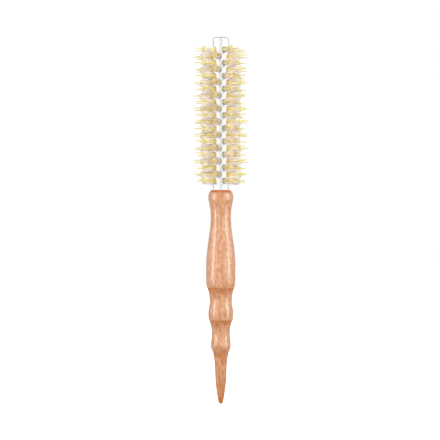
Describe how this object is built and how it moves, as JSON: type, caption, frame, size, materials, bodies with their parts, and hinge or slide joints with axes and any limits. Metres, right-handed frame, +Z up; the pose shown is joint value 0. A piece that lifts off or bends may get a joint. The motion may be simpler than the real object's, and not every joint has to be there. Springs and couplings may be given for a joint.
{
  "type": "round barrel hair brush",
  "caption": "Slim round hair brush with a turned wooden tail handle, a perforated metal barrel and tufts of boar bristle with longer nylon pins.",
  "frame": {"origin": "the tip of the tail, on the brush's axis, at the bottom of its bounding box", "axes": "+Z runs up the brush's axis from the tail to the barrel's free end; +X runs through one of the barrel's columns of 11 holes; the columns of 10 holes lie at 45 degrees between"},
  "size_m": [0.0332, 0.0332, 0.2287],
  "materials": {
    "turned_beech": "fine-sanded turned beech under clear satin lacquer",
    "barrel_aluminium": "bright drawn and polished, plain",
    "core_steel": "bright galvanised wire",
    "boar_bristle": "natural blond boar hair, pale beige, golden at the roots",
    "nylon_pin": "translucent straw-yellow monofilament with rounded tips"
  },
  "bodies": {
    "root": {"handle": "turned_beech", "barrel_tube": "barrel_aluminium", "end_cap": "barrel_aluminium", "core_wire_a": "core_steel", "core_wire_b": "core_steel", "boar_tufts_01": "boar_bristle", "boar_tufts_02": "boar_bristle", "boar_tufts_03": "boar_bristle", "boar_tufts_04": "boar_bristle", "boar_tufts_05": "boar_bristle", "boar_tufts_06": "boar_bristle", "boar_tufts_07": "boar_bristle", "boar_tufts_08": "boar_bristle", "boar_tufts_09": "boar_bristle", "boar_tufts_10": "boar_bristle", "boar_tufts_11": "boar_bristle", "boar_tufts_12": "boar_bristle", "boar_tufts_13": "boar_bristle", "boar_tufts_14": "boar_bristle", "boar_tufts_15": "boar_bristle", "boar_tufts_16": "boar_bristle", "boar_tufts_17": "boar_bristle", "boar_tufts_18": "boar_bristle", "boar_tufts_19": "boar_bristle", "boar_tufts_20": "boar_bristle", "boar_tufts_21": "boar_bristle", "nylon_pins_01": "nylon_pin", "nylon_pins_02": "nylon_pin", "nylon_pins_03": "nylon_pin", "nylon_pins_04": "nylon_pin", "nylon_pins_05": "nylon_pin", "nylon_pins_06": "nylon_pin", "nylon_pins_07": "nylon_pin", "nylon_pins_08": "nylon_pin", "nylon_pins_09": "nylon_pin", "nylon_pins_10": "nylon_pin", "nylon_pins_11": "nylon_pin", "nylon_pins_12": "nylon_pin", "nylon_pins_13": "nylon_pin", "nylon_pins_14": "nylon_pin", "nylon_pins_15": "nylon_pin", "nylon_pins_16": "nylon_pin", "nylon_pins_17": "nylon_pin", "nylon_pins_18": "nylon_pin", "nylon_pins_19": "nylon_pin", "nylon_pins_20": "nylon_pin", "nylon_pins_21": "nylon_pin"}
  },
  "joints": []
}
